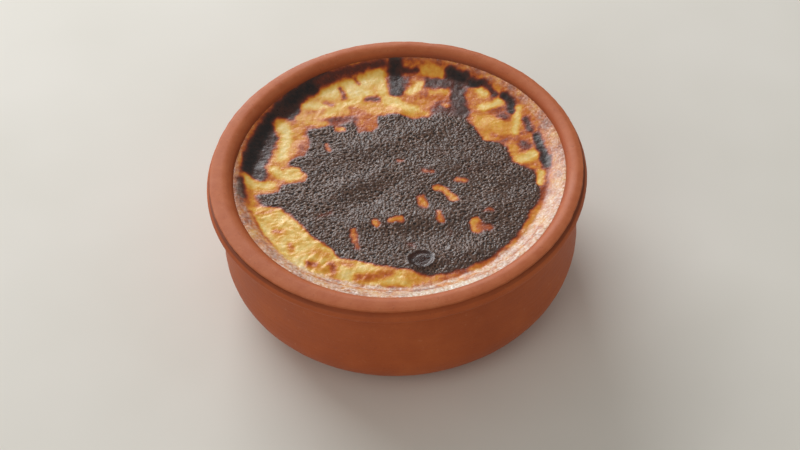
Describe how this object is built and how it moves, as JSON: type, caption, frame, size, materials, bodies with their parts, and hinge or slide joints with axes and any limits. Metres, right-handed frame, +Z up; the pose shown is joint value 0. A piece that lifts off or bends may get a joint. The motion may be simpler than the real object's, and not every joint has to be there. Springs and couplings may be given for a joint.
{
  "type": "rice pudding",
  "caption": "Oven-baked rice pudding with a scorched, pitted brown and gold skin, set just below the rim of the shallow round bowl of unglazed clay that it was baked in.",
  "frame": {"origin": "on the flat foot, under the middle of the bead round the bowl's rim", "axes": "+Z up out of the bowl; the bowl is round, and the front of the view is -Y"},
  "size_m": [0.124, 0.124, 0.0454],
  "materials": {
    "fired_clay": "unglazed terracotta, matt, with faint throwing lines and paler dust on the rim",
    "baked_skin": "baked milk skin, satin: cream and gold, spotted orange-brown, with large scorched dark-brown patches"
  },
  "bodies": {
    "root": {"clay_bowl": "fired_clay", "rice_pudding": "baked_skin"}
  },
  "joints": []
}
